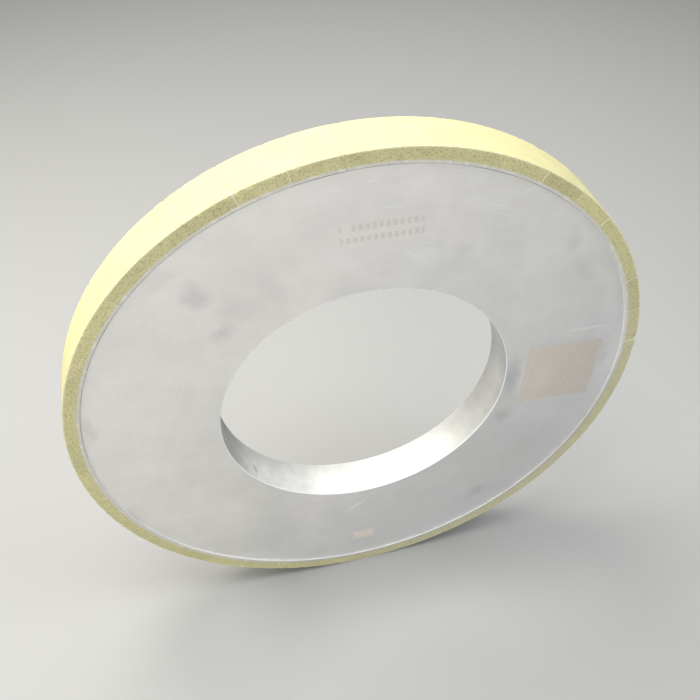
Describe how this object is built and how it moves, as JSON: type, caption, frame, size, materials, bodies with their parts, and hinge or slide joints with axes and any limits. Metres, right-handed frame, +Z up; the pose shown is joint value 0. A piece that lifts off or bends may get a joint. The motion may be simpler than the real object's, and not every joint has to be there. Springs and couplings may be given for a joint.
{
  "type": "diamond grinding wheel",
  "caption": "Straight diamond grinding wheel: flat aluminium ring core with a very large plain bore and a rim of bonded diamond abrasive segments.",
  "frame": {"origin": "the wheel's centre: on the bore's axis, midway between the rim's two side faces", "axes": "+Y along the wheel's axis, from the marked front side to the back; +Z up with the wheel upright; +X to the right seen from the front"},
  "size_m": [0.4, 0.032, 0.4],
  "materials": {
    "aluminium": "fine-turned aluminium, slightly cloudy, with light smudges and scratches",
    "diamond_abrasive": "open-grained pale olive vitrified diamond layer, matt",
    "backing_ceramic": "fine-grained pale grey ceramic without diamond, matt",
    "epoxy": "cured off-white epoxy, slightly glossy"
  },
  "bodies": {
    "root": {"core_body": "aluminium", "core_bond": "epoxy", "segment_backings": "backing_ceramic", "joint_bonds": "epoxy", "abrasive_segment_01": "diamond_abrasive", "abrasive_segment_02": "diamond_abrasive", "abrasive_segment_03": "diamond_abrasive", "abrasive_segment_04": "diamond_abrasive", "abrasive_segment_05": "diamond_abrasive", "abrasive_segment_06": "diamond_abrasive", "abrasive_segment_07": "diamond_abrasive", "abrasive_segment_08": "diamond_abrasive", "abrasive_segment_09": "diamond_abrasive", "abrasive_segment_10": "diamond_abrasive", "abrasive_segment_11": "diamond_abrasive", "abrasive_segment_12": "diamond_abrasive", "abrasive_segment_13": "diamond_abrasive", "abrasive_segment_14": "diamond_abrasive", "abrasive_segment_15": "diamond_abrasive", "abrasive_segment_16": "diamond_abrasive", "abrasive_segment_17": "diamond_abrasive", "abrasive_segment_18": "diamond_abrasive", "abrasive_segment_19": "diamond_abrasive", "abrasive_segment_20": "diamond_abrasive", "abrasive_segment_21": "diamond_abrasive", "abrasive_segment_22": "diamond_abrasive", "abrasive_segment_23": "diamond_abrasive", "abrasive_segment_24": "diamond_abrasive", "abrasive_segment_25": "diamond_abrasive", "abrasive_segment_26": "diamond_abrasive", "abrasive_segment_27": "diamond_abrasive", "abrasive_segment_28": "diamond_abrasive", "abrasive_segment_29": "diamond_abrasive", "abrasive_segment_30": "diamond_abrasive", "abrasive_segment_31": "diamond_abrasive", "abrasive_segment_32": "diamond_abrasive", "abrasive_segment_33": "diamond_abrasive", "abrasive_segment_34": "diamond_abrasive", "abrasive_segment_35": "diamond_abrasive", "abrasive_segment_36": "diamond_abrasive", "abrasive_segment_37": "diamond_abrasive", "abrasive_segment_38": "diamond_abrasive", "abrasive_segment_39": "diamond_abrasive", "abrasive_segment_40": "diamond_abrasive"}
  },
  "joints": []
}
